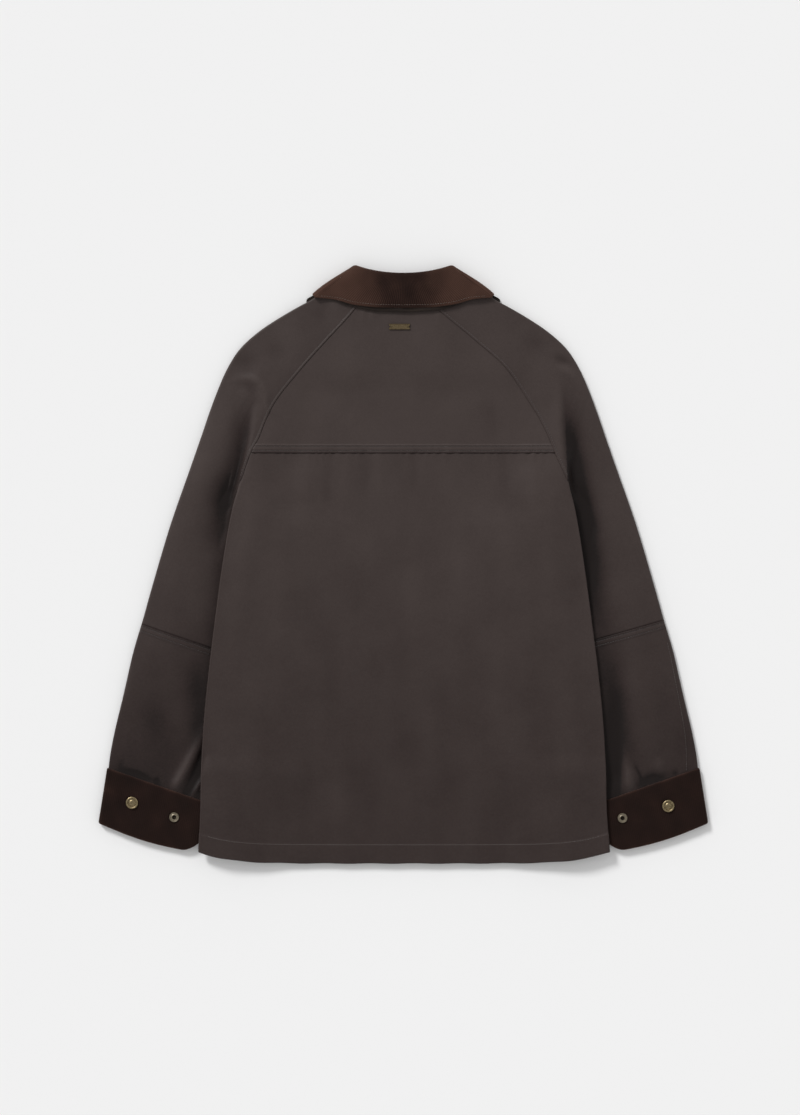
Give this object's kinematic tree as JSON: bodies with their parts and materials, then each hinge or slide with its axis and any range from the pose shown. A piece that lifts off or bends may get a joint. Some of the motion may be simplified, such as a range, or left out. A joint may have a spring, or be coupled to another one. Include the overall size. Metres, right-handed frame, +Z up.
{
  "type": "waxed cotton jacket laid flat, back up",
  "caption": "Hip-length waxed cotton jacket with raglan sleeves, turned-down corduroy collar and turned-back corduroy cuffs, laid flat with its back up.",
  "frame": {"origin": "on the surface that the jacket lies on, under the middle of its outline", "axes": "+X across the jacket towards the wearer's right sleeve, +Y from hem to collar, +Z up, out of the back"},
  "size_m": [0.7698, 0.7601, 0.0143],
  "materials": {
    "waxed_cotton": "waxed, soft dull sheen, faint mottling",
    "corduroy": "fine-wale corduroy, matt with a soft nap",
    "under_collar": "waxed, dull",
    "antique_brass": "aged, brushed"
  },
  "bodies": {
    "root": {"back_yoke": "waxed_cotton", "back_panel": "waxed_cotton", "front_left": "waxed_cotton", "front_right": "waxed_cotton", "sleeve_back_upper_left": "waxed_cotton", "sleeve_back_upper_right": "waxed_cotton", "sleeve_back_lower_left": "waxed_cotton", "sleeve_back_lower_right": "waxed_cotton", "sleeve_front_upper_left": "waxed_cotton", "sleeve_front_upper_right": "waxed_cotton", "sleeve_front_lower_left": "waxed_cotton", "sleeve_front_lower_right": "waxed_cotton", "cuff_left": "corduroy", "cuff_right": "corduroy", "collar_top": "corduroy", "collar_under": "under_collar", "cuff_cap_left": "antique_brass", "cuff_cap_right": "antique_brass", "cuff_socket_left": "antique_brass", "cuff_socket_right": "antique_brass", "nameplate": "antique_brass", "front_cap_1": "antique_brass", "front_cap_2": "antique_brass", "front_cap_3": "antique_brass", "front_cap_4": "antique_brass", "front_cap_5": "antique_brass"}
  },
  "joints": []
}
